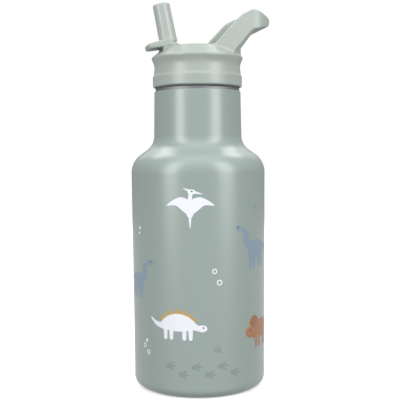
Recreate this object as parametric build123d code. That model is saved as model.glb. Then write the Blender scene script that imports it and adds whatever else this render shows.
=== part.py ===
from build123d import *
from math import hypot, radians, sin, tan
import os

# A child's steel drinking bottle with a screw lid, a flip-up spout and a carry loop.
# Millimetres. The bottle stands on z = 0 and Z is its axis. The spout leans toward -X and the
# carry loop toward +X. Outlines are lists of (radius, height, corner radius) about that axis.

# Steel bottle, outside
SHEET = 0.6            # thickness of every pressed steel wall
BODY_R = 35.0          # at the top of the straight side
FOOT_R = 34.4          # just above the foot
FOOT_CORNER_R = 4.8    # between the side and the foot
FOOT_RING_R = 28.0     # inside edge of the ring that the bottle stands on
RECESS_Z = 2.2         # underside inside that ring
SHOULDER_Z = 117.3     # where the side and the sloping shoulder would meet in a sharp corner
SHOULDER_SLOPE = 36.0  # degrees from level
SHOULDER_CORNER_R = 11.5
NECK_R = 23.0          # at the foot of the neck
NECK_TOP_R = 22.55
NECK_CORNER_R = 9.0
PAINT_TOP_Z = 153.6    # the outer wall turns in here, to meet the bare rim
PAINT_LIP_R = 0.5
BASE_SEAM_Z = 7.0      # weld between the outer wall and the base cup

# Steel bottle, inside
LINER_R = 31.6         # outside of the liner, so that the vacuum gap is about 2.7
LINER_NECK_R = 20.1
LINER_BOTTOM_Z = 7.4
LINER_CORNER_R = 4.6
LINER_SEAM_Z = 14.0    # weld between the liner and its base
RIM_R = 21.95          # bare rim that joins the two walls
RIM_TOP_Z = 155.2
RIM_DEPTH = 2.4
SEAL_HOLE_R = 1.2      # evacuation hole in the base cup
COVER_R = 25.6
COVER_FLAT = 4.6       # width of the cover's flat edge, round its shallow dish
COVER_DISH = 0.5
GETTER_R = 4.4
GETTER_DEPTH = 2.0
GETTER_CUP_WALL = 0.4
GETTER_CUP_FLANGE = 3.0
GETTER_WINDOW_R = 1.5  # hole in the cup that leaves the pellet open to the vacuum

# Screw thread between the lid's insert and the neck
PITCH = 4.0
THREAD_TURNS = 1.0
THREAD_FOOT = 1.7      # width at the thread's root
THREAD_CREST = 0.9     # width at its crest
NECK_THREAD_Z = 144.2  # start of the neck's ridge, at angle 0
NECK_THREAD_CREST_R = 18.55
PLUG_THREAD_TURN = 0.25  # the insert's ridge starts this much further round, half a pitch lower
PLUG_THREAD_CREST_R = 19.2
THREAD_BITE = 0.3      # how far a ridge runs into its wall

# Lid
SKIRT_R = 23.3
SKIRT_Z = 155.7        # lower edge of the lid's skirt
WAIST_R = 22.25
SKIRT_BAND = 5.6       # height of the skirt's thicker band, above which the wall steps in
SKIRT_STEP = 0.5
SKIRT_DRAFT = 0.05     # the band is this much wider at its top and narrower at its foot
WAIST_DROP = 4.0       # the waist is this far below the rim
RIM_BEAD_R = 24.05     # sharp corner that the rim is rounded from
RIM_BEAD_Z = 171.0
LID_TOP_Z = 176.6
LID_TOP_R = 16.4
LID_WALL = 1.8
SKIRT_BORE_R = 21.9
CAVITY_R = 20.6
PLUG_TOP_Z = 162.2
PLUG_CORE_R = 18.2
PLUG_BORE_R = 17.0
PLUG_FLOOR = 2.4       # thickness of the insert's disc
PLUG_FLANGE_Z = 157.4
PLUG_END_Z = 141.5
FIT_GAP = 0.05         # between pieces that are snapped together

# Carry loop
LOOP_HALF_WIDTH = 17.5
LOOP_ARM = 4.0         # thickness of each arm across the loop
LOOP_END_X = 37.2
LOOP_BAR_X = 30.5      # inner face of the crossbar
LOOP_BEND_R = 11.5
LOOP_FOOT_X = 2.5      # where the arms rise out of the lid's top
LOOP_CREST_X = 26.0
LOOP_CREST_Z = 195.0
LOOP_BACK_X = 26.6     # back of the arms, under the crossbar
LOOP_UNDER_Z = 184.6   # underside of the crossbar there
LOOP_LOW_Z = 171.2     # the loop's solid starts here, inside the lid
LOOP_WALL_R = 22.8     # the lid's wall under the loop
LOOP_FLARE_Z = 172.8   # above this height the back of the arms leans out
LOOP_FLARE = 0.65      # outward for each millimetre up

# Flip spout, turning about Y
PIVOT_X = -14.2
PIVOT_Z = 173.4
SPOUT_LEAN = 11.0      # degrees back from upright, when open
FOLD = 101.0           # degrees from open to lying flat along +X
BARREL_R = 5.2
BARREL_HALF = 6.7
HUB_R = 3.9            # between the barrel and the collar
COLLAR_R = 4.3
COLLAR_FOOT = 5.3      # distances along the spout start at the pivot
COLLAR_TOP = 7.2
SLEEVE_FOOT = 5.4      # the mouthpiece reaches down over the collar, behind the tab
STEM_R = 2.9
STEM_TOP = 17.0
SPOUT_TOP = 25.6
SPOUT_R = 4.4
SPOUT_FOOT_R = 4.75
SPOUT_BORE_R = 2.1
PASSAGE_R = 1.8        # drinking passage through the barrel, seal and insert
TAB_HALF_WIDTH = 6.9
TAB_REACH = 11.9
TAB_LOW = 3.0          # its underside at the barrel, above the pivot
TAB_HIGH = 7.0
TAB_RAMP = 2.4         # the top slopes down from here
TAB_CORNER_R = 3.0
TAB_RIM_R = 0.9
PIN_R = 1.5
PIN_CLEARANCE = 0.05
PIN_INNER_Y = 3.3
EAR_OUTER_Y = 9.6
POCKET_CLEARANCE = 0.4
POCKET_SIDE_GAP = 0.4
TAB_ROOM = 7.5         # room behind the pivot for the tab's root when the spout is down
CHANNEL_R = 5.0
CHANNEL_END = 26.6     # from the pivot
TROUGH_WALL = 1.8
POCKET_FLOOR = 1.4     # thickness under the barrel pocket

# Seal, straw and vent
SEAT_GAP = 0.06        # between the barrel and its silicone seat
SEAT_X = PIVOT_X + BARREL_R * sin(radians(SPOUT_LEAN))
SEAT_R = 3.9
SEAT_TOP_Z = 169.2
RISER_R = 5.4
STRAW_R = 3.3
STRAW_BORE_R = 2.7
STRAW_END_Z = 10.0
STRAW_CUT = 2.6        # height of the slanting cut at the straw's end
NIPPLE_END_Z = 151.0
VENT_X = 10.0
VENT_STEM_R = 1.2
VENT_HEAD_R = 3.7
VENT_HOLE_R = 0.6
VENT_HOLE_COUNT = 4
VENT_HOLE_CIRCLE_R = 2.3


def crossing(a, b, c, d):
    """Point where the line through a and b meets the line through c and d."""
    abx, abz = b[0] - a[0], b[1] - a[1]
    cdx, cdz = d[0] - c[0], d[1] - c[1]
    along = ((c[0] - a[0]) * cdz - (c[1] - a[1]) * cdx) / (abx * cdz - abz * cdx)
    return a[0] + abx * along, a[1] + abz * along


def shifted(points, gap):
    """Move an open outline sideways by gap, to the left of its direction of travel."""
    lines = []
    for (x1, z1), (x2, z2) in zip(points, points[1:]):
        length = hypot(x2 - x1, z2 - z1)
        side = (-(z2 - z1) / length * gap, (x2 - x1) / length * gap)
        lines.append(((x1 + side[0], z1 + side[1]), (x2 + side[0], z2 + side[1])))
    inner = [crossing(*first, *second) for first, second in zip(lines, lines[1:])]
    return [lines[0][0], *inner, lines[-1][1]]


def turned(outline, x=0.0):
    """Solid turned about the vertical axis at x, from a closed outline of (r, z, corner radius)."""
    edge = FilletPolyline(*[(r, z) for r, z, _ in outline], radius=[c for _, _, c in outline], close=True)
    return Pos(x, 0, 0) * revolve(Plane.XZ * make_face(edge), Axis.Z)


def pressed(outline, thickness=SHEET):
    """Sheet turned about Z. The outline is open, runs along the sheet's outer face and has the
    sheet on its left, so that a bend to the left has the smaller radius inside."""
    outer = [(r, z) for r, z, _ in outline]
    inner = shifted(outer, thickness)
    bends = []
    for before, here, after, (_, _, corner) in zip(outer, outer[1:], outer[2:], outline[1:]):
        cross = (here[0] - before[0]) * (after[1] - here[1]) - (here[1] - before[1]) * (after[0] - here[0])
        bends.append(corner - thickness if cross > 0 else corner + thickness)
    far = [(r, z, max(bend, 0.0)) for (r, z), bend in zip(inner, [0.0, *bends, 0.0])]
    return turned([*outline, *reversed(far)])


def ring(inner_r, outer_r, low_z, high_z, corner=0.0, x=0.0):
    """Plain ring, or a disc where inner_r is 0, with its outer corners rounded."""
    outline = [(inner_r, low_z, 0), (outer_r, low_z, corner), (outer_r, high_z, corner), (inner_r, high_z, 0)]
    return turned(outline, x)


def rod(radius, low_z, high_z, x=0.0, y=0.0):
    """Upright round bar."""
    return Pos(x, y, low_z) * extrude(Circle(radius), high_z - low_z)


def block(low, high):
    """Box from its lowest to its highest corner."""
    size = [b - a for a, b in zip(low, high)]
    return Pos(*low) * Box(*size, align=(Align.MIN, Align.MIN, Align.MIN))


def cross_bar(radius, low_y, high_y):
    """Round bar along Y through the pivot."""
    start = Plane(origin=(PIVOT_X, high_y, PIVOT_Z), z_dir=(0, -1, 0))
    return extrude(start * Circle(radius), high_y - low_y)


def thread_ridge(wall_r, crest_r, start_z, start_turn):
    """Ridge of trapezoid section along a right-hand helix, growing from a wall at wall_r."""
    inward = 1 if wall_r > crest_r else -1
    root_r = wall_r + inward * THREAD_BITE
    slope = (THREAD_FOOT - THREAD_CREST) / abs(wall_r - crest_r)
    root = THREAD_FOOT + slope * THREAD_BITE
    section = Polyline((root_r, -root / 2), (crest_r, -THREAD_CREST / 2), (crest_r, THREAD_CREST / 2),
                       (root_r, root / 2), close=True)
    helix = Helix(pitch=PITCH, height=PITCH * THREAD_TURNS, radius=wall_r)
    ridge = sweep(Plane.XZ * make_face(section), path=helix, is_frenet=True)
    return Pos(0, 0, start_z) * Rot(0, 0, 360 * start_turn) * ridge


# Steel bottle

def shoulder_outline(side_r, side_z, low_r, low_z, neck_r, top_r, top_z, corner, neck_corner):
    """Side, sloping shoulder and neck, from the bottom upward."""
    drop = (side_r - neck_r) * tan(radians(SHOULDER_SLOPE))
    neck_z = side_z + drop
    return [(low_r, low_z, 0), (side_r, side_z, corner), (neck_r, neck_z, neck_corner), (top_r, top_z, 0)]


def outer_wall():
    wall = pressed(shoulder_outline(BODY_R, SHOULDER_Z, FOOT_R, BASE_SEAM_Z, NECK_R, NECK_TOP_R, PAINT_TOP_Z,
                                    SHOULDER_CORNER_R, NECK_CORNER_R))
    low = PAINT_TOP_Z - SHEET
    turned_in = turned([(RIM_R, low, 0), (NECK_TOP_R, low, 0), (NECK_TOP_R, PAINT_TOP_Z, PAINT_LIP_R),
                        (RIM_R, PAINT_TOP_Z, 0)])
    edge_cut = ring(NECK_TOP_R - SHEET, NECK_R, low, PAINT_TOP_Z + 1)
    return wall - edge_cut + turned_in


def outer_base():
    inner_edge = FOOT_RING_R - 1.6
    return pressed([(SEAL_HOLE_R, RECESS_Z, 0), (inner_edge, RECESS_Z, 1.0), (FOOT_RING_R, 0, 0.8),
                    (FOOT_R, 0, FOOT_CORNER_R), (FOOT_R, BASE_SEAM_Z, 0)])


def base_cover():
    """Thin disc with a shallow dish in its middle, flush against the recess."""
    low = RECESS_Z - SHEET
    dish_r = COVER_R - COVER_FLAT
    outline = [(0, low - COVER_DISH, 0), (dish_r - 1.4, low - COVER_DISH, 2.0), (dish_r, low, 2.0),
               (COVER_R, low, 0.2), (COVER_R, RECESS_Z, 0.2), (dish_r, RECESS_Z, 1.4),
               (dish_r - 1.5, RECESS_Z - COVER_DISH, 1.4), (0, RECESS_Z - COVER_DISH, 0)]
    return turned(outline)


def vacuum_plug():
    """Solder bead that fills the evacuation hole and spreads over the sheet inside."""
    top = RECESS_Z + SHEET
    return turned([(0, RECESS_Z, 0), (SEAL_HOLE_R, RECESS_Z, 0), (SEAL_HOLE_R, top, 0),
                   (SEAL_HOLE_R + 1.0, top, 0), (SEAL_HOLE_R + 0.4, top + 1.0, 0.5), (0, top + 1.0, 0)])


def inner_wall():
    liner_top = RIM_TOP_Z - RIM_DEPTH / 2
    wall = pressed(shoulder_outline(LINER_R, SHOULDER_Z - 2.0, LINER_R, LINER_SEAM_Z, LINER_NECK_R,
                                    LINER_NECK_R, liner_top, SHOULDER_CORNER_R - 2.7, NECK_CORNER_R + 2.7))
    rim = turned([(LINER_NECK_R - SHEET, RIM_TOP_Z - RIM_DEPTH, 0), (RIM_R, RIM_TOP_Z - RIM_DEPTH, 0.0),
                  (RIM_R, RIM_TOP_Z, 0.5), (LINER_NECK_R - SHEET, RIM_TOP_Z, 0.5)])
    ridge = thread_ridge(LINER_NECK_R - SHEET, NECK_THREAD_CREST_R, NECK_THREAD_Z, 0.0)
    return wall + rim + ridge


def inner_base():
    return pressed([(0, LINER_BOTTOM_Z, 0), (LINER_R, LINER_BOTTOM_Z, LINER_CORNER_R),
                    (LINER_R, LINER_SEAM_Z, 0)])


def getter():
    return ring(0, GETTER_R, LINER_BOTTOM_Z - GETTER_DEPTH, LINER_BOTTOM_Z)


def getter_cup():
    wall = GETTER_CUP_WALL
    low = LINER_BOTTOM_Z - GETTER_DEPTH
    outer_r = GETTER_R + wall
    flange_r = GETTER_R + GETTER_CUP_FLANGE
    top = LINER_BOTTOM_Z
    return turned([(GETTER_WINDOW_R, low - wall, 0), (outer_r, low - wall, 0.2), (outer_r, top - wall, 0),
                   (flange_r, top - wall, 0), (flange_r, top, 0), (GETTER_R, top, 0), (GETTER_R, low, 0),
                   (GETTER_WINDOW_R, low, 0)])


# Lid

def lid_body():
    """Solid of the lid's outside, without the loop."""
    band_top = SKIRT_Z + SKIRT_BAND
    return turned([(0, SKIRT_Z, 0), (SKIRT_R - SKIRT_DRAFT, SKIRT_Z, 0.5),
                   (SKIRT_R + SKIRT_DRAFT, band_top, 0.8), (SKIRT_R - SKIRT_STEP, band_top + 0.6, 0.8),
                   (WAIST_R, RIM_BEAD_Z - WAIST_DROP, 6.0), (RIM_BEAD_R, RIM_BEAD_Z, 0.7),
                   (LID_TOP_R, LID_TOP_Z, 2.0), (0, LID_TOP_Z, 0)])


def loop_side():
    """Carry loop seen from the side: up the front of the arms, over the crest and down the back."""
    outline = [(LOOP_FOOT_X, LOOP_LOW_Z, 0), (LOOP_FOOT_X, LID_TOP_Z - 1.6, 0),
               (LOOP_FOOT_X + 4.1, LID_TOP_Z + 1.0, 9.0), (LOOP_CREST_X - 6.6, LOOP_CREST_Z - 3.4, 9.0),
               (LOOP_CREST_X, LOOP_CREST_Z, 5.0), (LOOP_END_X - 0.2, LOOP_CREST_Z - 4.8, 2.2),
               (LOOP_END_X - 2.2, LOOP_CREST_Z - 8.6, 3.4), (LOOP_BACK_X, LOOP_UNDER_Z, 5.0),
               (LOOP_BACK_X, LOOP_LOW_Z, 0)]
    return FilletPolyline(*[(x, z) for x, z, _ in outline], radius=[c for _, _, c in outline], close=True)


def loop_plan():
    """Carry loop seen from above: straight arms and a rounded end."""
    half = LOOP_HALF_WIDTH
    return FilletPolyline((0, -half), (LOOP_END_X, -half), (LOOP_END_X, half), (0, half),
                          radius=[0, LOOP_BEND_R, LOOP_BEND_R, 0], close=True)


def loop_limit():
    """Round solid that bounds the back of the arms: the lid's wall, leaning out up to the crossbar."""
    top = LOOP_CREST_Z + 3
    far = LOOP_END_X + LOOP_HALF_WIDTH
    reach = LOOP_WALL_R + (LOOP_UNDER_Z - LOOP_FLARE_Z) * LOOP_FLARE
    return turned([(0, LOOP_LOW_Z, 0), (LOOP_WALL_R, LOOP_LOW_Z, 0), (LOOP_WALL_R, LOOP_FLARE_Z, 5.0),
                   (reach, LOOP_UNDER_Z, 4.0), (far, LOOP_UNDER_Z, 0), (far, top, 0), (0, top, 0)])


def loop_opening():
    """Finger opening: straight down between the arms, onto the lid's top and past its wall."""
    half = LOOP_HALF_WIDTH - LOOP_ARM
    bend = LOOP_BEND_R - LOOP_ARM
    plan = FilletPolyline((-5, -half), (LOOP_BAR_X, -half), (LOOP_BAR_X, half), (-5, half),
                          radius=[0, bend, bend, 0], close=True)
    space = Pos(0, 0, LOOP_LOW_Z) * extrude(make_face(plan), LOOP_CREST_Z)
    return space - rod(LOOP_WALL_R, LOOP_LOW_Z, LID_TOP_Z)


def carry_loop():
    depth = LOOP_HALF_WIDTH + 1
    strap = extrude(Plane.XZ * make_face(loop_side()), depth, both=True)
    strap &= extrude(make_face(loop_plan()), LOOP_CREST_Z + 1)
    strap &= loop_limit()
    return strap - loop_opening()


def lid_cavity():
    """Hollow of the lid shell: the skirt's bore, then the space for the spout's works."""
    bevel_drop = RIM_BEAD_R - CAVITY_R
    return turned([(0, SKIRT_Z - 1, 0), (SKIRT_BORE_R, SKIRT_Z - 1, 0), (SKIRT_BORE_R, PLUG_TOP_Z, 0),
                   (CAVITY_R, PLUG_TOP_Z, 0), (CAVITY_R, RIM_BEAD_Z + bevel_drop / 2 - LID_WALL, 1.0),
                   (LID_TOP_R - 1.0, LID_TOP_Z - LID_WALL, 1.0), (0, LID_TOP_Z - LID_WALL, 0)])


def trough_blocks():
    """Walls that stay in the hollow round the barrel pocket and the channel for the folded spout."""
    floor_z = PIVOT_Z - BARREL_R - POCKET_CLEARANCE - POCKET_FLOOR
    hub_back = PIVOT_X + TAB_ROOM + TROUGH_WALL
    hub = block((-SKIRT_R, -EAR_OUTER_Y, floor_z), (hub_back, EAR_OUTER_Y, LID_TOP_Z))
    half = CHANNEL_R + TROUGH_WALL
    channel_back = PIVOT_X + CHANNEL_END + TROUGH_WALL
    channel = block((hub_back - 1, -half, PIVOT_Z - half), (channel_back, half, LID_TOP_Z))
    return hub + channel


def barrel_pocket():
    """Room for the barrel and for the thumb tab's root, open at the top."""
    radius = BARREL_R + POCKET_CLEARANCE
    half = BARREL_HALF + POCKET_SIDE_GAP
    room = block((PIVOT_X - radius, -half, PIVOT_Z), (PIVOT_X + TAB_ROOM, half, LID_TOP_Z + 5))
    return cross_bar(radius, -half, half) + room


def spout_channel():
    """Round-bottomed channel along +X for the folded spout, open at the top."""
    end_x = PIVOT_X + CHANNEL_END
    trough = Plane(origin=(PIVOT_X, 0, PIVOT_Z), z_dir=(1, 0, 0)) * Circle(CHANNEL_R)
    slot = block((PIVOT_X, -CHANNEL_R, PIVOT_Z), (end_x, CHANNEL_R, LID_TOP_Z + 5))
    return extrude(trough, CHANNEL_END) + slot


def lid_shell():
    loop = carry_loop()
    shell = lid_body() + loop
    shell = shell - (lid_cavity() - trough_blocks())
    shell = shell - barrel_pocket() - spout_channel()
    shell = shell - rod(SEAT_R, SKIRT_Z, PIVOT_Z, SEAT_X)
    return shell - cross_bar(PIN_R, -EAR_OUTER_Y - 1, EAR_OUTER_Y + 1)


def lid_plug():
    floor_z = PLUG_TOP_Z - PLUG_FLOOR
    flange_r = SKIRT_BORE_R - FIT_GAP
    insert = turned([(0, floor_z, 0), (PLUG_BORE_R, floor_z, 0.8), (PLUG_BORE_R, PLUG_END_Z, 0.3),
                     (PLUG_CORE_R, PLUG_END_Z, 0.5), (PLUG_CORE_R, PLUG_FLANGE_Z, 0),
                     (flange_r, PLUG_FLANGE_Z, 0.2), (flange_r, PLUG_TOP_Z, 0), (0, PLUG_TOP_Z, 0)])
    start_z = NECK_THREAD_Z - PITCH / 2 + PITCH * PLUG_THREAD_TURN
    insert += thread_ridge(PLUG_CORE_R, PLUG_THREAD_CREST_R, start_z, PLUG_THREAD_TURN)
    riser_top = PIVOT_Z - BARREL_R - POCKET_CLEARANCE - POCKET_FLOOR
    insert += ring(SEAT_R, RISER_R, PLUG_TOP_Z - 1, riser_top, x=SEAT_X)
    insert += rod(STRAW_BORE_R, NIPPLE_END_Z, floor_z + 1, SEAT_X)
    insert -= rod(PASSAGE_R, NIPPLE_END_Z - 1, PLUG_TOP_Z + 1, SEAT_X)
    insert -= rod(VENT_STEM_R, floor_z - 1, PLUG_TOP_Z + 1, VENT_X)
    for hole in PolarLocations(VENT_HOLE_CIRCLE_R, VENT_HOLE_COUNT):
        insert -= Pos(VENT_X, 0, floor_z - 1) * hole * extrude(Circle(VENT_HOLE_R), PLUG_FLOOR + 2)
    return insert


def lid_gasket():
    inner_r = PLUG_CORE_R + 0.4
    outer_r = SKIRT_BORE_R - 0.3
    return turned([(inner_r, RIM_TOP_Z, 0.4), (outer_r, RIM_TOP_Z, 0.6), (outer_r, PLUG_FLANGE_Z, 0.2),
                   (inner_r, PLUG_FLANGE_Z, 0.2)])


def vent_valve():
    """Umbrella valve: a thin cap under the insert's disc, a stem through it and a knob above."""
    low = PLUG_TOP_Z - PLUG_FLOOR
    knob_top = PLUG_TOP_Z + 2.2
    return turned([(0, low - 0.8, 0), (VENT_HEAD_R, low - 0.35, 0.1), (VENT_HEAD_R, low, 0),
                   (VENT_STEM_R, low, 0), (VENT_STEM_R, PLUG_TOP_Z, 0), (VENT_STEM_R + 0.6, PLUG_TOP_Z, 0),
                   (VENT_STEM_R - 0.2, knob_top, 0.5), (0, knob_top, 0)], VENT_X)


def valve_seal():
    seat = ring(PASSAGE_R, SEAT_R, PLUG_TOP_Z, SEAT_TOP_Z, x=SEAT_X)
    return seat - cross_bar(BARREL_R + SEAT_GAP, -BARREL_HALF, BARREL_HALF)


def straw():
    top = PLUG_TOP_Z - PLUG_FLOOR - 0.4
    tube = ring(STRAW_BORE_R, STRAW_R, STRAW_END_Z, top, x=SEAT_X)
    wedge = Polyline((SEAT_X - STRAW_R - 1, STRAW_END_Z - 1), (SEAT_X + STRAW_R + 1, STRAW_END_Z - 1),
                     (SEAT_X + STRAW_R + 1, STRAW_END_Z + STRAW_CUT), close=True)
    return tube - extrude(Plane.XZ * make_face(wedge), STRAW_R + 1, both=True)


# Flip spout, made upright with the pivot at the origin and then leaned back

def leaned(shape):
    return Pos(PIVOT_X, 0, PIVOT_Z) * Rot(0, -SPOUT_LEAN, 0) * shape


def thumb_tab():
    """Flat lever that stands out from the front of the spout's foot, with rounded corners and rims."""
    side = Polyline((0, TAB_LOW), (-TAB_REACH, TAB_LOW + 0.3), (-TAB_REACH, TAB_HIGH - 0.9),
                    (-TAB_RAMP, TAB_HIGH), (0, TAB_HIGH + 0.2), close=True)
    bar = extrude(Plane.XZ * make_face(side), TAB_HALF_WIDTH, both=True)
    tip_x = -TAB_REACH + 0.1
    corners = [edge for edge in bar.edges() if edge.center().X < tip_x and abs(edge.center().Y) > 1]
    bar = fillet(corners, TAB_CORNER_R)
    rims = [edge for edge in bar.edges() if edge.center().X < -0.5 and abs(edge.center().X + TAB_RAMP) > 0.1]
    return fillet(rims, TAB_RIM_R)


def spout_rotor():
    barrel = Rot(90, 0, 0) * Cylinder(BARREL_R, 2 * BARREL_HALF)
    hub = rod(HUB_R, 0, COLLAR_TOP) + rod(COLLAR_R, COLLAR_FOOT, COLLAR_TOP)
    stem = ring(0, STEM_R, 0, STEM_TOP, 0.4)
    rotor = barrel + hub + stem + thumb_tab()
    rotor -= rod(PASSAGE_R, -BARREL_R - 1, STEM_TOP + 1)
    bore_depth = BARREL_HALF - PIN_INNER_Y + 0.2
    for side in (-1, 1):
        bore = Rot(90, 0, 0) * Cylinder(PIN_R + PIN_CLEARANCE, bore_depth)
        rotor -= Pos(0, side * (BARREL_HALF - bore_depth / 2), 0) * bore
    return leaned(rotor)


def mouthpiece():
    """Sleeve over the stem and the collar, notched at the front where the tab comes out."""
    sleeve = turned([(COLLAR_R, SLEEVE_FOOT, 0), (SPOUT_FOOT_R, SLEEVE_FOOT, 0.2),
                     (SPOUT_FOOT_R - 0.15, COLLAR_TOP + 3, 4.0), (SPOUT_R, SPOUT_TOP, 1.1),
                     (SPOUT_BORE_R, SPOUT_TOP, 0.8), (SPOUT_BORE_R, STEM_TOP, 0), (STEM_R, STEM_TOP, 0),
                     (STEM_R, COLLAR_TOP, 0), (COLLAR_R, COLLAR_TOP, 0)])
    return leaned(sleeve - thumb_tab())


def pivot_pins():
    """Two steel pins, pressed into the lid's ears, that the barrel turns on."""
    pins = [cross_bar(PIN_R, PIN_INNER_Y, EAR_OUTER_Y), cross_bar(PIN_R, -EAR_OUTER_Y, -PIN_INNER_Y)]
    return Compound(children=pins)


NODES = [
    outer_wall, outer_base, base_cover, vacuum_plug, inner_wall, inner_base, getter, getter_cup,
    lid_shell, lid_plug, lid_gasket, valve_seal, vent_valve, straw, pivot_pins,
    spout_rotor, mouthpiece,
]


def main():
    os.makedirs("parts", exist_ok=True)
    for make in NODES:
        export_step(make(), f"parts/{make.__name__}.step")


main()
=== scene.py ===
import math

import bmesh
import bpy
import numpy as np
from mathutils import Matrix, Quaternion, Vector
from mathutils.geometry import delaunay_2d_cdt


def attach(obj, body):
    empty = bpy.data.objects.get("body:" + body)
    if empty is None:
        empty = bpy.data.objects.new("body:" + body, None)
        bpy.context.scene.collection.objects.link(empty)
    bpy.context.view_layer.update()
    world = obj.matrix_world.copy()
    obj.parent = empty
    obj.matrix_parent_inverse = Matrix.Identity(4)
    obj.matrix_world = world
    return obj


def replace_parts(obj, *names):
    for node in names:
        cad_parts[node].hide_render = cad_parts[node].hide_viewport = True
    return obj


# A child's steel drinking bottle: sage powder coat with generic printed dinosaurs, a matte moulded
# lid with a carry loop, and a flip-up spout. Metres, Z up, in the frame of the CAD model.

MM = 0.001

# Camera: a short telephoto, a little above the middle of the bottle
CAMERA_AZIMUTH = math.radians(-14.0)   # round the bottle from -Y
CAMERA_DISTANCE = 0.40818              # from the bottle's axis
CAMERA_HEIGHT = 0.11982
AIM_HEIGHT = 0.09677                   # the point aimed at, beside the axis
AIM_RIGHT = 0.0009
CAMERA_ROLL = -0.0078
LENS_MM = 69.54

# Steel bottle, outside: the same driving sizes as the CAD part
BODY_R = 35.0 * MM
FOOT_R = 34.4 * MM
FOOT_CORNER_R = 4.8 * MM
FOOT_RING_R = 28.0 * MM
RECESS_Z = 2.2 * MM
SHEET = 0.6 * MM
SHOULDER_Z = 117.3 * MM
SHOULDER_SLOPE = math.radians(36.0)
SHOULDER_CORNER_R = 11.5 * MM
NECK_R = 23.0 * MM
NECK_TOP_R = 22.55 * MM
NECK_CORNER_R = 9.0 * MM
PAINT_TOP_Z = 153.6 * MM
PAINT_LIP_R = 0.5 * MM
BASE_SEAM_Z = 7.0 * MM
RIM_R = 21.95 * MM
SEAL_HOLE_R = 1.2 * MM      # evacuation hole in the base cup
RECESS_SLANT = 1.6 * MM     # how far the recess's side leans in
RECESS_SIDE = 0.4 * MM      # from that side to its other face, measured across
RECESS_CORNER_R = 1.0 * MM
RING_CORNER_R = 0.8 * MM

# Turned meshes
SPIN_STEPS = 256
LONGEST_EDGE = 2.0 * MM
SHARP_ANGLE = math.radians(40.0)

# Prints
PRINT_R = 34.8 * MM      # radius that their arc lengths are measured at
PRINT_CELL = 1.5         # millimetres between the points inside a print
PRINT_SINK = 0.05 * MM

# Trail of footprints, in millimetres across and up
TRAIL_COUNT = 6
TRAIL_START = -24.5
TRAIL_STEP = 6.7
TRAIL_HEIGHT = 14.6
TRAIL_SPREAD = 1.9
TRAIL_SCALE = 1.25

# How the moulded pieces are relaxed
RELAX = 0.6
RELAX_BACK = 0.55
LID_SOFT_LOW_Z = 158.0 * MM
LID_SOFT_HIGH_Z = 170.0 * MM
LID_LEAST_SHARE = 0.15
LID_VOXEL = 0.35 * MM
LID_PASSES = 60
LEVER_VOXEL = 0.22 * MM
LEVER_PASSES = 25

# Studio
FLOOR_R = 1.0
FLOOR_CORNERS = 96
FLOOR_GLOW = 0.38            # as the camera sees it
REFLECTED_FLOOR_GLOW = 0.85  # as the coat reflects it
WORLD_GLOW = 0.30
BACKDROP_R = 20.0
STRIP_DISTANCE = 1.2
STRIP_HEIGHT = 1.6
STRIP_LIFT = 0.02            # from the floor to the strips' lower edges

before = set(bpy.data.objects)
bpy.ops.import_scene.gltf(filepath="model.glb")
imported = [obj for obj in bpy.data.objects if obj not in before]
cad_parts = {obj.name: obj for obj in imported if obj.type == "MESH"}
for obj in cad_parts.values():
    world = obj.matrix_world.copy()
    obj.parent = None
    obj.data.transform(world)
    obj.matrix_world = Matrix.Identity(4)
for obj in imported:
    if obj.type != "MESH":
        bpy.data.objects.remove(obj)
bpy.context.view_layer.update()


# Helpers

def new_object(name, data):
    """An object in the scene that holds a mesh, a lamp or a camera."""
    thing = bpy.data.objects.new(name, data)
    bpy.context.scene.collection.objects.link(thing)
    return thing


def hide_from(piece, *rays):
    for ray in rays:
        setattr(piece, "visible_" + ray, False)


# Materials

def linear(red, green, blue):
    """A display colour, 0 to 255 in each channel, as scene-linear RGBA."""
    def channel(value):
        share = value / 255.0
        return share / 12.92 if share <= 0.04045 else ((share + 0.055) / 1.055) ** 2.4
    return (channel(red), channel(green), channel(blue), 1.0)


WHITE = linear(255, 255, 255)
BLACK = linear(0, 0, 0)
SAGE = linear(134, 146, 142)
LID_SAGE = linear(148, 157, 151)
SPOUT_SAGE = linear(154, 161, 157)
INKS = {    # colour, and how far the film stands out of the coat
    "prints_mustard": (linear(176, 143, 72), 0.020 * MM),
    "prints_rust": (linear(138, 98, 70), 0.020 * MM),
    "prints_white": (linear(212, 214, 221), 0.030 * MM),
    "prints_blue_grey": (linear(122, 138, 152), 0.030 * MM),
    "prints_grey": (linear(122, 133, 132), 0.030 * MM),
    "prints_brown": (linear(148, 108, 80), 0.040 * MM),
    "prints_dark": (linear(40, 44, 56), 0.050 * MM),
}


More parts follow.
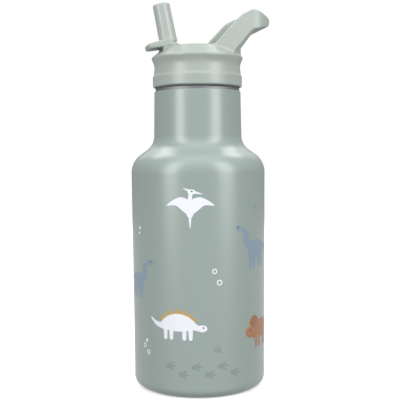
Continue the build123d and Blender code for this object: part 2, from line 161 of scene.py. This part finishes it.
class Finish:
    """A node material under construction: a Principled shader plus helpers that add nodes to it."""

    def __init__(self, name, colour, roughness, **sockets):
        self.material = bpy.data.materials.new(name)
        self.material.use_nodes = True
        self.tree = self.material.node_tree
        self.shader = self.tree.nodes["Principled BSDF"]
        self.shader.inputs["Base Color"].default_value = colour
        self.shader.inputs["Roughness"].default_value = roughness
        for socket, value in sockets.items():
            self.shader.inputs[socket.replace("_", " ")].default_value = value
        self.colour = colour
        self.roughness = roughness
        self.place = self.add("ShaderNodeTexCoord").outputs["Object"]

    def add(self, kind, **settings):
        node = self.tree.nodes.new(kind)
        for key, value in settings.items():
            setattr(node, key, value)
        return node

    def link(self, source, target):
        self.tree.links.new(source, target)

    def noise(self, size, detail=2.0, rough=0.5, place=None):
        """Noise whose features are about size metres across. Returns its 0 to 1 output."""
        node = self.add("ShaderNodeTexNoise")
        node.inputs["Scale"].default_value = 1.0 / size
        node.inputs["Detail"].default_value = detail
        node.inputs["Roughness"].default_value = rough
        self.link(place or self.place, node.inputs["Vector"])
        return node.outputs["Fac"]

    def ramp(self, value, low, high):
        """value, 0 to 1, spread between the numbers low and high."""
        node = self.add("ShaderNodeMapRange")
        node.inputs["To Min"].default_value = low
        node.inputs["To Max"].default_value = high
        self.link(value, node.inputs["Value"])
        return node.outputs["Result"]

    def mottle(self, size, amount):
        """Varies the base colour by amount either way, in patches of the given size."""
        node = self.add("ShaderNodeHueSaturation")
        node.inputs["Color"].default_value = self.colour
        self.link(self.ramp(self.noise(size, 3.0), 1.0 - amount, 1.0 + amount), node.inputs["Value"])
        self.link(node.outputs["Color"], self.shader.inputs["Base Color"])

    def uneven_gloss(self, size, amount):
        value = self.ramp(self.noise(size, 3.0), self.roughness - amount, self.roughness + amount)
        self.link(value, self.shader.inputs["Roughness"])

    def bump(self, height, depth):
        """Adds a bump of the given depth, in metres, from a 0 to 1 height. Calls stack."""
        node = self.add("ShaderNodeBump")
        node.inputs["Distance"].default_value = depth
        self.link(height, node.inputs["Height"])
        before = self.shader.inputs["Normal"]
        if before.links:
            self.link(before.links[0].from_socket, node.inputs["Normal"])
        self.link(node.outputs["Normal"], before)

    def around(self, fine, along):
        """Coordinates that run round the vertical axis: stretched noise made of them looks turned."""
        parts = self.add("ShaderNodeSeparateXYZ")
        self.link(self.place, parts.inputs["Vector"])
        flat = self.add("ShaderNodeCombineXYZ")
        self.link(parts.outputs["X"], flat.inputs["X"])
        self.link(parts.outputs["Y"], flat.inputs["Y"])
        radius = self.add("ShaderNodeVectorMath", operation="LENGTH")
        self.link(flat.outputs["Vector"], radius.inputs[0])
        angle = self.add("ShaderNodeMath", operation="ARCTAN2")
        self.link(parts.outputs["Y"], angle.inputs[0])
        self.link(parts.outputs["X"], angle.inputs[1])
        result = self.add("ShaderNodeCombineXYZ")
        for source, target, scale in ((radius.outputs["Value"], "X", 1.0 / fine),
                                      (parts.outputs["Z"], "Y", 1.0 / fine),
                                      (angle.outputs["Value"], "Z", 1.0 / along)):
            times = self.add("ShaderNodeMath", operation="MULTIPLY")
            times.inputs[1].default_value = scale
            self.link(source, times.inputs[0])
            self.link(times.outputs["Value"], result.inputs[target])
        return result.outputs["Vector"]


def powder_coat():
    """Satin sage powder coat with a very fine orange peel."""
    finish = Finish("sage_powder_coat", SAGE, 0.295, Specular_IOR_Level=0.52)
    finish.mottle(9 * MM, 0.010)
    finish.uneven_gloss(5 * MM, 0.014)
    finish.bump(finish.noise(1.1 * MM, 2.0), 0.0015 * MM)
    finish.bump(finish.noise(0.25 * MM, 2.0), 0.0004 * MM)
    return finish.material


def lid_plastic():
    """Matte moulded polypropylene, with the fine grain of a spark-eroded mould."""
    finish = Finish("lid_plastic", LID_SAGE, 0.37, Specular_IOR_Level=0.45)
    finish.mottle(5 * MM, 0.012)
    finish.uneven_gloss(3 * MM, 0.03)
    finish.bump(finish.noise(0.22 * MM, 3.0), 0.004 * MM)
    return finish.material


def turned_steel(name, shade, roughness):
    """Bare steel with the fine rings that turning and polishing leave."""
    finish = Finish(name, (shade, shade, shade * 1.02, 1.0), roughness, Metallic=1.0)
    rings = finish.noise(1.0, 4.0, 0.6, finish.around(0.12 * MM, 0.6))
    finish.bump(rings, 0.002 * MM)
    finish.link(finish.ramp(rings, roughness - 0.08, roughness + 0.08), finish.shader.inputs["Roughness"])
    finish.mottle(3 * MM, 0.03)
    return finish.material


def soft_rubber(name, colour, roughness):
    """Silicone: soft sheen, faint moulding texture."""
    finish = Finish(name, colour, roughness, Specular_IOR_Level=0.45, Sheen_Weight=0.05,
                    Sheen_Roughness=0.4)
    finish.mottle(3 * MM, 0.012)
    finish.uneven_gloss(1.5 * MM, 0.03)
    finish.bump(finish.noise(0.2 * MM, 2.0), 0.002 * MM)
    return finish.material


def dull_metal(name, shade, grain):
    """Cast or sintered metal: grainy and dull."""
    finish = Finish(name, (shade, shade, shade, 1.0), 0.55, Metallic=1.0)
    finish.mottle(0.6 * MM, 0.10)
    finish.uneven_gloss(0.5 * MM, 0.08)
    finish.bump(finish.noise(grain, 4.0, 0.6), 0.02 * MM)
    return finish.material


def clear_plastic():
    """Translucent extruded tube with faint lines along its length."""
    finish = Finish("straw_plastic", linear(232, 236, 233), 0.28, Transmission_Weight=0.55, IOR=1.49)
    finish.mottle(6 * MM, 0.01)
    stretch = finish.add("ShaderNodeMapping")
    stretch.inputs["Scale"].default_value = (1.0, 1.0, 0.03)
    finish.link(finish.place, stretch.inputs["Vector"])
    finish.bump(finish.noise(0.3 * MM, 2.0, place=stretch.outputs["Vector"]), 0.002 * MM)
    return finish.material


def insert_plastic():
    """Smooth off-white polypropylene."""
    finish = Finish("insert_plastic", linear(206, 208, 202), 0.38)
    finish.mottle(6 * MM, 0.012)
    finish.uneven_gloss(3 * MM, 0.03)
    finish.bump(finish.noise(0.3 * MM, 3.0), 0.003 * MM)
    return finish.material


def finish_nodes():
    """Gives every carried-over CAD node its finished material."""
    steel = turned_steel("turned_steel", 0.45, 0.50)
    # A second copy of the turned steel, darkened to 0.22 against 0.45: painted shade for the liner and its
    # bare rim, the band under the lid's skirt
    shaded_liner_steel = turned_steel("liner_steel_painted_shade", 0.22, 0.60)
    white_silicone = soft_rubber("seal_silicone", linear(226, 226, 220), 0.42)
    finishes = {
        "base_cover": steel, "inner_wall": shaded_liner_steel, "inner_base": shaded_liner_steel, "getter_cup": steel,
        "pivot_pins": steel,
        "vacuum_plug": dull_metal("solder", 0.42, 0.5 * MM),
        "getter": dull_metal("getter_metal", 0.22, 0.15 * MM),
        "lid_plug": insert_plastic(),
        "lid_gasket": soft_rubber("gasket_silicone", linear(128, 136, 141), 0.5),
        "valve_seal": white_silicone, "vent_valve": white_silicone,
        "straw": clear_plastic(),
        "mouthpiece": soft_rubber("spout_silicone", SPOUT_SAGE, 0.32),
    }
    for name, material in finishes.items():
        repaint(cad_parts[name], material)


def repaint(piece, material):
    if not piece.material_slots:
        piece.data.materials.append(material)
    for slot in piece.material_slots:
        slot.material = material


# Stage: floor, light and camera

def area_light(name, centre, aim_height, size, watts):
    """A white rectangular lamp that faces a point on the bottle's axis."""
    data = bpy.data.lights.new(name, "AREA")
    data.shape = "RECTANGLE"
    data.size, data.size_y = size
    data.energy = watts
    light = new_object(name, data)
    light.location = centre
    light.rotation_mode = "QUATERNION"
    light.rotation_quaternion = (Vector((0, 0, aim_height)) - centre).to_track_quat("-Z", "Y")


def beside_camera(angle, distance, height):
    """A point at an angle round the bottle, counted from the camera toward its right."""
    turn = CAMERA_AZIMUTH + math.radians(angle)
    return Vector((distance * math.sin(turn), -distance * math.cos(turn), height))


def floor_disc(name):
    mesh = bpy.data.meshes.new(name)
    turns = [2 * math.pi * step / FLOOR_CORNERS for step in range(FLOOR_CORNERS)]
    rim = [(FLOOR_R * math.cos(turn), FLOOR_R * math.sin(turn), 0) for turn in turns]
    mesh.from_pydata(rim, [], [range(FLOOR_CORNERS)])
    return new_object(name, mesh)


def make_backdrop():
    """White all round and below, seen by the camera only, so that it lights nothing."""
    shape = bmesh.new()
    bmesh.ops.create_uvsphere(shape, u_segments=48, v_segments=24, radius=BACKDROP_R)
    mesh = bpy.data.meshes.new("backdrop")
    shape.to_mesh(mesh)
    shape.free()
    backdrop = new_object("backdrop", mesh)
    white = bpy.data.materials.new("backdrop_white")
    white.use_nodes = True
    tree = white.node_tree
    tree.nodes.remove(tree.nodes["Principled BSDF"])
    glow = tree.nodes.new("ShaderNodeEmission")
    tree.links.new(glow.outputs["Emission"], tree.nodes["Material Output"].inputs["Surface"])
    mesh.materials.append(white)
    hide_from(backdrop, "diffuse", "glossy", "transmission", "volume_scatter", "shadow")


def make_floor_glow():
    """What reflections see in place of the floor, just under it."""
    glow = floor_disc("floor_glow")
    paper = Finish("floor_glow_paper", BLACK, 0.9, Emission_Color=WHITE,
                   Emission_Strength=REFLECTED_FLOOR_GLOW, Specular_IOR_Level=0.0)
    glow.data.materials.append(paper.material)
    glow.location.z = -1 * MM
    hide_from(glow, "camera", "diffuse", "transmission", "volume_scatter", "shadow")


def make_floor():
    """Pale paper that the camera sees the bottle stand on."""
    floor = floor_disc("floor")
    paper = Finish("floor_paper", (0.80, 0.80, 0.80, 1.0), 0.9, Emission_Color=WHITE,
                   Emission_Strength=FLOOR_GLOW)
    paper.mottle(0.05, 0.005)
    floor.data.materials.append(paper.material)
    hide_from(floor, "diffuse", "glossy")


def make_lights():
    """Two tall strips beside the camera, a soft sheet above it, and dimmer lights behind."""
    for name, angle, width, watts in (("strip_left", -46.5, 0.48, 19.0), ("strip_right", 48.5, 0.54, 20.5)):
        centre = beside_camera(angle, STRIP_DISTANCE, STRIP_LIFT + STRIP_HEIGHT / 2)
        area_light(name, centre, centre.z, (width, STRIP_HEIGHT), watts)
    area_light("overhead", beside_camera(0.0, 0.35, 1.3), aim_height=0.10, size=(1.2, 1.2), watts=6.5)
    area_light("back", beside_camera(180.0, 1.0, 0.72), aim_height=0.18, size=(1.5, 0.45), watts=2.0)
    for name, angle in (("high_left", -140.0), ("high_right", 140.0)):
        area_light(name, beside_camera(angle, 0.72, 1.05), aim_height=0.12, size=(0.56, 0.42), watts=3.4)


def make_stage():
    world = bpy.data.worlds.new("studio")
    world.use_nodes = True
    world.node_tree.nodes["Background"].inputs["Color"].default_value = WHITE
    world.node_tree.nodes["Background"].inputs["Strength"].default_value = WORLD_GLOW
    bpy.context.scene.world = world
    make_floor()
    make_floor_glow()
    make_backdrop()
    make_lights()


def make_camera():
    data = bpy.data.cameras.new("camera")
    data.sensor_width = 36.0
    data.lens = LENS_MM
    data.clip_start = 0.01
    data.clip_end = 60.0
    camera = new_object("camera", data)
    right = Vector((math.cos(CAMERA_AZIMUTH), math.sin(CAMERA_AZIMUTH), 0.0))
    camera.location = beside_camera(0.0, CAMERA_DISTANCE, CAMERA_HEIGHT)
    look = right * AIM_RIGHT + Vector((0, 0, AIM_HEIGHT)) - camera.location
    camera.rotation_mode = "QUATERNION"
    camera.rotation_quaternion = look.to_track_quat("-Z", "Y") @ Quaternion((0, 0, 1), CAMERA_ROLL)
    bpy.context.scene.camera = camera
    bpy.context.scene.view_settings.view_transform = "Standard"


# Turned shapes

def rounded(outline, steps):
    """A run of (r, z, corner radius). Corners with a radius, apart from the ends, become arcs."""
    points = []
    last = len(outline) - 1
    for index, (r, z, radius) in enumerate(outline):
        here = Vector((r, z))
        if radius == 0 or index in (0, last):
            points.append(here)
            continue
        back = (Vector(outline[index - 1][:2]) - here).normalized()
        ahead = (Vector(outline[index + 1][:2]) - here).normalized()
        half = back.angle(ahead) / 2
        centre = here + (back + ahead).normalized() * (radius / math.sin(half))
        start = here + back * (radius / math.tan(half)) - centre
        sweep = start.angle_signed(here + ahead * (radius / math.tan(half)) - centre)
        for step in range(steps + 1):
            turn = -sweep * step / steps
            cos = math.cos(turn)
            sin = math.sin(turn)
            points.append(centre + Vector((start.x * cos - start.y * sin, start.x * sin + start.y * cos)))
    return points


def divided(points):
    """The same run with long stretches divided."""
    result = [points[0]]
    for before, here in zip(points, points[1:]):
        count = max(1, math.ceil((here - before).length / LONGEST_EDGE))
        result += [before.lerp(here, step / count) for step in range(1, count + 1)]
    return result


def spun(name, outline):
    """A closed outline turned about the Z axis."""
    points = [(point.x, point.y) for point in outline]
    verts = []
    for step in range(SPIN_STEPS):
        turn = 2 * math.pi * step / SPIN_STEPS
        verts += [(r * math.cos(turn), r * math.sin(turn), z) for r, z in points]
    count = len(points)
    faces = []
    for step in range(SPIN_STEPS):
        this = step * count
        that = (step + 1) % SPIN_STEPS * count
        for index in range(count):
            after = (index + 1) % count
            faces.append((this + index, that + index, that + after, this + after))
    mesh = bpy.data.meshes.new(name)
    mesh.from_pydata(verts, [], faces)
    mesh.validate()
    mesh.shade_smooth()
    mesh.set_sharp_from_angle(angle=SHARP_ANGLE)
    return new_object(name, mesh)


def bottle_wall(material):
    """The coated outer wall: side, shoulder and neck, then the lip turned in to the bare rim."""
    neck_foot_z = SHOULDER_Z + (BODY_R - NECK_R) * math.tan(SHOULDER_SLOPE)
    outer = rounded([
        (FOOT_R, BASE_SEAM_Z, 0), (BODY_R, SHOULDER_Z, SHOULDER_CORNER_R),
        (NECK_R, neck_foot_z, NECK_CORNER_R), (NECK_TOP_R, PAINT_TOP_Z, PAINT_LIP_R),
        (RIM_R, PAINT_TOP_Z, 0)], steps=24)
    slant = SHEET * math.tan(SHOULDER_SLOPE / 2)
    inner = rounded([
        (RIM_R, PAINT_TOP_Z - SHEET, 0), (NECK_R - SHEET, PAINT_TOP_Z - SHEET, 0),
        (NECK_R - SHEET, neck_foot_z - slant, NECK_CORNER_R + SHEET),
        (BODY_R - SHEET, SHOULDER_Z - slant, SHOULDER_CORNER_R - SHEET),
        (FOOT_R - SHEET, BASE_SEAM_Z, 0)], steps=12)
    wall = spun("bottle_wall", divided(outer) + inner)
    repaint(wall, material)
    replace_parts(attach(wall, "bottle"), "outer_wall")


def bottle_foot(material):
    """The coated base cup that the bottle stands on."""
    inner_edge = FOOT_RING_R - RECESS_SLANT
    outer = rounded([
        (SEAL_HOLE_R, RECESS_Z, 0), (inner_edge, RECESS_Z, RECESS_CORNER_R),
        (FOOT_RING_R, 0, RING_CORNER_R), (FOOT_R, 0, FOOT_CORNER_R), (FOOT_R, BASE_SEAM_Z, 0)], steps=12)
    inner = rounded([
        (FOOT_R - SHEET, BASE_SEAM_Z, 0), (FOOT_R - SHEET, SHEET, FOOT_CORNER_R - SHEET),
        (FOOT_RING_R + RECESS_SIDE, SHEET, RECESS_CORNER_R),
        (inner_edge + RECESS_SIDE, RECESS_Z + SHEET, RECESS_CORNER_R / 2),
        (SEAL_HOLE_R, RECESS_Z + SHEET, 0)], steps=8)
    foot = spun("bottle_foot", divided(outer) + inner)
    repaint(foot, material)
    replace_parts(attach(foot, "bottle"), "outer_base")


# Moulded shapes: the CAD solid, with the soft edges and blends of the real moulding

def neighbours_mean(points, edges, count):
    total = np.zeros_like(points)
    np.add.at(total, edges[:, 0], points[edges[:, 1]])
    np.add.at(total, edges[:, 1], points[edges[:, 0]])
    return total / count[:, None]


def softened(node, name, voxel, passes, share):
    """A fine, even mesh of a CAD node with its edges relaxed. share(points) gives, for each point
    from 0 to 1, how much it relaxes. Every other pass pushes back, so that nothing shrinks."""
    piece = new_object(name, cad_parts[node].data.copy())
    remesh = piece.modifiers.new("even", "REMESH")
    remesh.mode = "VOXEL"
    remesh.voxel_size = voxel
    mesh = bpy.data.meshes.new_from_object(piece.evaluated_get(bpy.context.evaluated_depsgraph_get()))
    piece.modifiers.clear()
    piece.data = mesh
    points = np.empty(len(mesh.vertices) * 3, np.float32)
    mesh.vertices.foreach_get("co", points)
    points = points.reshape(-1, 3).astype(float)
    edges = np.empty(len(mesh.edges) * 2, np.int32)
    mesh.edges.foreach_get("vertices", edges)
    edges = edges.reshape(-1, 2)
    count = np.bincount(edges.ravel(), minlength=len(points)).astype(float)
    weight = share(points)[:, None]
    for _ in range(passes):
        for push in (RELAX, -RELAX_BACK):
            points += push * weight * (neighbours_mean(points, edges, count) - points)
    mesh.vertices.foreach_set("co", points.astype(np.float32).ravel())
    mesh.update()
    mesh.shade_smooth()
    return piece


def lid_share(points):
    """The loop and the lid's top relax most, the skirt's crisp lower edge least."""
    rise = np.clip((points[:, 2] - LID_SOFT_LOW_Z) / (LID_SOFT_HIGH_Z - LID_SOFT_LOW_Z), 0.0, 1.0)
    return LID_LEAST_SHARE + (1.0 - LID_LEAST_SHARE) * rise * rise * (3.0 - 2.0 * rise)


def full_share(points):
    """Every point relaxes fully."""
    return np.ones(len(points))


def lid(material):
    piece = softened("lid_shell", "lid", LID_VOXEL, LID_PASSES, lid_share)
    repaint(piece, material)
    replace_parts(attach(piece, "lid"), "lid_shell")


def spout_lever(material):
    piece = softened("spout_rotor", "spout_lever", LEVER_VOXEL, LEVER_PASSES, full_share)
    repaint(piece, material)
    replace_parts(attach(piece, "spout"), "spout_rotor")


# Prints on the coat. Shapes are drawn flat in millimetres, across then up, and each animal faces
# right with its middle at the origin. They are stamped on the side at an arc length round the
# bottle, counted from the front, and a height.

def between(before, start, end, after, share):
    """The point at a share of the way along the smooth curve that runs through four points."""
    return (start + (end - before) * share / 2
            + (2 * before - 5 * start + 4 * end - after) * share ** 2 / 2
            + (3 * start - before - 3 * end + after) * share ** 3 / 2)


def blob(points, steps=6):
    """A closed smooth curve through the points."""
    count = len(points)
    curve = []
    for index in range(count):
        near = [Vector(points[(index + shift) % count]) for shift in (-1, 0, 1, 2)]
        curve += [between(*near, step / steps) for step in range(steps)]
    return curve


def oval(u, v, wide, high=None, steps=20):
    """An ellipse from its middle and its half width and height, or a circle."""
    turns = [2 * math.pi * step / steps for step in range(steps)]
    return [Vector((u + wide * math.cos(turn), v + (high or wide) * math.sin(turn))) for turn in turns]


def stroke(points, first, last, steps=5):
    """A brush stroke through the points with round ends, its width running from first to last."""
    points = [Vector(point) for point in points]
    points = [2 * points[0] - points[1], *points, 2 * points[-1] - points[-2]]
    middle = []
    for near in zip(points, points[1:], points[2:], points[3:]):
        middle += [between(*near, step / steps) for step in range(steps)]
    middle.append(points[-2])
    left = []
    right = []
    for index, here in enumerate(middle):
        along = (middle[min(index + 1, len(middle) - 1)] - middle[max(index - 1, 0)]).normalized()
        half = (first + (last - first) * index / (len(middle) - 1)) / 2
        left.append(here + along.orthogonal() * half)
        right.append(here - along.orthogonal() * half)
    return left + cap(left[-1], right[-1]) + right[::-1] + cap(right[0], left[0])


def cap(start, end, steps=6):
    """Half a circle between two points, without them, bulging to the left of the way from start to end."""
    centre = (start + end) / 2
    arm = (start - end) / 2
    bulge = Vector((arm.y, -arm.x))
    turns = [math.pi * step / steps for step in range(1, steps)]
    return [centre + arm * math.cos(turn) + bulge * math.sin(turn) for turn in turns]


def ring(u, v, radius, width, steps=20):
    """A thin ring, as a chain of four-cornered pieces."""
    inner = oval(u, v, radius - width / 2, steps=steps)
    outer = oval(u, v, radius + width / 2, steps=steps)
    pieces = zip(inner, outer, outer[1:] + outer[:1], inner[1:] + inner[:1])
    return [list(piece) for piece in pieces]


def straight_legs(places, top, bottom, width):
    return [stroke([(u, top), (u, bottom)], width, width * 0.8) for u in places]


def flying_reptile():
    """A gliding flying reptile with plain wings, its head turned to the right."""
    wing = ((0.5, 3.6), (5.5, 5.4), (12.0, 1.4), (7.0, 1.4), (1.5, -2.4))
    wings = [blob([(side * u, v) for u, v in wing]) for side in (-1, 1)]
    return {
        "prints_white": [
            *wings,
            oval(0.0, 0.2, 2.2, 5.0),
            stroke([(0.0, 4.0), (0.3, 7.4)], 2.2, 1.8),
            oval(0.8, 8.0, 1.9, 1.3),
            stroke([(1.6, 8.0), (6.0, 7.0)], 1.5, 0.3),
            stroke([(0.4, 8.4), (-3.2, 9.8)], 1.3, 0.3),
            stroke([(0.0, -3.6), (0.0, -9.4)], 1.6, 0.4),
        ],
        "prints_dark": [oval(1.0, 8.3, 0.4)],
    }


def plated_dinosaur():
    """A low four-legged dinosaur with a row of separate pointed plates along its back."""
    plates = []
    for index in range(7):
        turn = math.radians(150 - 20 * index)
        out = Vector((math.cos(turn), math.sin(turn)))
        foot = Vector((8.6 * out.x, -2.6 + 6.0 * out.y))
        side = Vector((-out.y, out.x)) * 1.7
        plates.append([foot - out, foot - side, foot + out * (2.0 + 1.9 * out.y), foot + side])
    return {
        "prints_mustard": plates,
        "prints_white": [
            blob([(-9.6, -2.8), (-6.4, 2.0), (0.0, 4.0), (6.4, 2.0), (9.6, -2.8), (0.0, -4.8)]),
            stroke([(-8.0, -2.4), (-12.0, -1.6), (-15.4, 0.8)], 3.4, 0.8),
            stroke([(8.0, -2.2), (11.0, -3.2)], 3.4, 2.6),
            oval(12.4, -3.2, 2.5, 1.7),
            *straight_legs((-6.6, -3.4, 3.4, 6.6), -3.0, -8.2, 2.4),
        ],
        "prints_dark": [oval(13.0, -2.8, 0.42)],
    }


def long_neck():
    """A tall long-necked dinosaur."""
    return {
        "prints_blue_grey": [
            oval(-0.6, 0.8, 8.4, 5.0),
            stroke([(4.0, 1.4), (8.2, 5.2), (9.2, 9.8), (12.0, 12.2)], 5.4, 2.2),
            oval(13.6, 12.3, 2.7, 1.6),
            stroke([(-6.0, 1.6), (-12.0, 0.8), (-18.0, -3.0)], 4.8, 0.6),
            *straight_legs((-6.0, -2.6, 2.2, 5.4), -1.6, -7.8, 2.8),
        ],
        "prints_dark": [oval(14.2, 12.8, 0.45)],
    }


def horned_dinosaur():
    """A stout dinosaur with a round neck frill and two horns."""
    return {
        "prints_rust": [oval(7.8, 2.2, 4.6, 5.8)],
        "prints_brown": [
            oval(-0.6, 0.6, 8.8, 4.8),
            oval(10.8, -0.2, 4.0, 2.9),
            stroke([(-7.0, 1.0), (-11.0, 0.4), (-14.4, -1.6)], 3.8, 0.7),
            *straight_legs((-6.4, -3.0, 2.6, 6.0), -1.6, -8.0, 2.7),
        ],
        "prints_mustard": [stroke([(11.4, 2.0), (13.2, 5.6)], 1.3, 0.3),
                           stroke([(13.8, 0.6), (16.6, 2.6)], 1.3, 0.3)],
        "prints_dark": [oval(11.4, 0.6, 0.45)],
    }


def footprint():
    """One three-toed footprint, walking to the right."""
    toes = [stroke([(0.0, 0.0), (reach * math.cos(turn), reach * math.sin(turn))], 1.3, 0.5)
            for reach, turn in ((2.6, 0.65), (3.2, 0.0), (2.6, -0.65))]
    return {"prints_grey": [oval(-0.2, 0.0, 1.0), *toes]}


def grass_tuft():
    blades = []
    for side in (-1.5, -0.5, 0.5, 1.5):
        line = [(0.85 * side, -1.8), (0.9 * side, 0.2), (1.1 * side, 2.0 - 0.4 * abs(side))]
        blades.append(stroke(line, 0.6, 0.35))
    return {"prints_grey": blades}


def ring_pair():
    return {"prints_white": [*ring(0.0, 0.0, 1.05, 0.55), *ring(2.5, -5.6, 1.15, 0.55)]}


def ring_group():
    return {"prints_white": [oval(0.4, 3.0, 0.85), *ring(-1.4, 0.2, 1.0, 0.5), *ring(1.6, -2.8, 1.0, 0.5)]}


def side_radius(z):
    """Radius of the bottle's tapered side at a height."""
    return FOOT_R + (BODY_R - FOOT_R) * (z - BASE_SEAM_Z) / (SHOULDER_Z - BASE_SEAM_Z)


def stamp(inks, shapes, arc, height, scale=1.0, facing=1, tilt=0.0):
    """Adds one design to the ink layers, its origin at an arc length and a height in millimetres."""
    cos = math.cos(math.radians(tilt)) * scale
    sin = math.sin(math.radians(tilt)) * scale
    for ink, outlines in shapes.items():
        for outline in outlines:
            placed = [Vector((arc + facing * (u * cos - v * sin), height + u * sin + v * cos))
                      for u, v in outline]
            inks.setdefault(ink, []).append(placed)


def counter_clockwise(outline):
    area = sum(a.cross(b) for a, b in zip(outline, outline[1:] + outline[:1]))
    return outline if area > 0 else outline[::-1]


def united(outlines):
    """Triangles over the union of flat outlines, small enough to bend round the bottle."""
    corners = []
    faces = []
    cells = set()
    for outline in map(counter_clockwise, outlines):
        faces.append(list(range(len(corners), len(corners) + len(outline))))
        corners += outline
        across = [point.x for point in outline]
        up = [point.y for point in outline]
        for column in range(math.floor(min(across) / PRINT_CELL), math.ceil(max(across) / PRINT_CELL) + 1):
            for row in range(math.floor(min(up) / PRINT_CELL), math.ceil(max(up) / PRINT_CELL) + 1):
                cells.add((column, row))
    corners += [Vector((column, row)) * PRINT_CELL for column, row in sorted(cells)]
    only_inside = 1
    merged_below = 0.001
    points, _, triangles, _, _, sources = delaunay_2d_cdt(corners, [], faces, only_inside, merged_below)
    return points, [triangle for triangle, source in zip(triangles, sources) if source]


def ink_layer(name, outlines, lift, material):
    """A thin closed film of ink, its front standing proud of the coat and its back sunk in it."""
    points, triangles = united(outlines)
    count = len(points)
    verts = []
    for proud in (lift, -PRINT_SINK):
        for arc, height in points:
            turn = arc * MM / PRINT_R
            radius = side_radius(height * MM) + proud
            verts.append((radius * math.sin(turn), -radius * math.cos(turn), height * MM))
    rims = {(a, b) for triangle in triangles for a, b in zip(triangle, triangle[1:] + triangle[:1])}
    rims = sorted((a, b) for a, b in rims if (b, a) not in rims)
    faces = [tuple(triangle) for triangle in triangles]
    faces += [tuple(count + corner for corner in reversed(triangle)) for triangle in triangles]
    faces += [(b, a, count + a, count + b) for a, b in rims]
    mesh = bpy.data.meshes.new(name)
    mesh.from_pydata(verts, [], faces)
    cleaned = bmesh.new()
    cleaned.from_mesh(mesh)
    bmesh.ops.delete(cleaned, geom=[vert for vert in cleaned.verts if not vert.link_faces], context="VERTS")
    cleaned.to_mesh(mesh)
    cleaned.free()
    mesh.shade_smooth()
    mesh.set_sharp_from_angle(angle=SHARP_ANGLE)
    film = new_object(name, mesh)
    repaint(film, material)
    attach(film, "bottle")


def print_ink(name, colour):
    """Matte screen-printed ink, a little uneven."""
    finish = Finish(name, colour, 0.42, Specular_IOR_Level=0.4)
    finish.mottle(1.6 * MM, 0.03)
    finish.uneven_gloss(1.2 * MM, 0.03)
    finish.bump(finish.noise(0.3 * MM, 2.0), 0.0012 * MM)
    return finish.material


def footprint_trail(inks):
    """A row of footprints near the foot, up and down in turn."""
    for index in range(TRAIL_COUNT):
        side = (-1) ** index
        arc = TRAIL_START + TRAIL_STEP * index
        stamp(inks, footprint(), arc, TRAIL_HEIGHT + TRAIL_SPREAD * side, TRAIL_SCALE, tilt=4 * side)


def front_prints(inks):
    stamp(inks, flying_reptile(), -12.6, 94.6)
    stamp(inks, plated_dinosaur(), -19.4, 38.8)
    stamp(inks, long_neck(), 26.0, 72.3, 0.97, facing=-1)
    stamp(inks, long_neck(), -47.8, 56.0, 0.90)
    stamp(inks, horned_dinosaur(), 32.0, 31.4, facing=-1)
    stamp(inks, ring_pair(), -0.7, 63.7)
    stamp(inks, ring_group(), -39.2, 24.4)
    stamp(inks, {"prints_white": [oval(0.0, 1.2, 0.8), oval(-0.6, -1.4, 0.7)]}, -44.0, 82.8)
    stamp(inks, {"prints_blue_grey": [oval(0.0, 0.0, 0.9, 1.5)]}, 24.9, 94.7)
    stamp(inks, grass_tuft(), 0.7, 25.4)
    footprint_trail(inks)


def back_prints(inks):
    stamp(inks, flying_reptile(), -78.0, 92.0, 0.9, facing=-1, tilt=8)
    stamp(inks, flying_reptile(), 74.0, 96.0, 0.9, tilt=-6)
    stamp(inks, plated_dinosaur(), 84.0, 31.0)
    stamp(inks, plated_dinosaur(), 102.0, 84.0, 0.85, facing=-1)
    stamp(inks, long_neck(), -86.0, 36.0, 0.95, facing=-1)
    stamp(inks, horned_dinosaur(), 72.0, 62.0, 0.85, facing=-1)
    stamp(inks, horned_dinosaur(), -100.0, 66.0, 0.8)
    stamp(inks, ring_pair(), 52.0, 84.0)
    stamp(inks, ring_group(), 96.0, 58.0)
    stamp(inks, ring_group(), -72.0, 66.0)
    stamp(inks, grass_tuft(), 58.0, 24.0)
    stamp(inks, grass_tuft(), -62.0, 24.0)


def prints():
    """The printed dinosaurs, rings, tufts and footprints, all the way round the side."""
    inks = {}
    front_prints(inks)
    back_prints(inks)
    for name, (colour, lift) in INKS.items():
        ink_layer(name, inks[name], lift, print_ink(name, colour))


coat = powder_coat()
bottle_wall(coat)
bottle_foot(coat)
plastic = lid_plastic()
lid(plastic)
spout_lever(plastic)
prints()
finish_nodes()
make_stage()
make_camera()
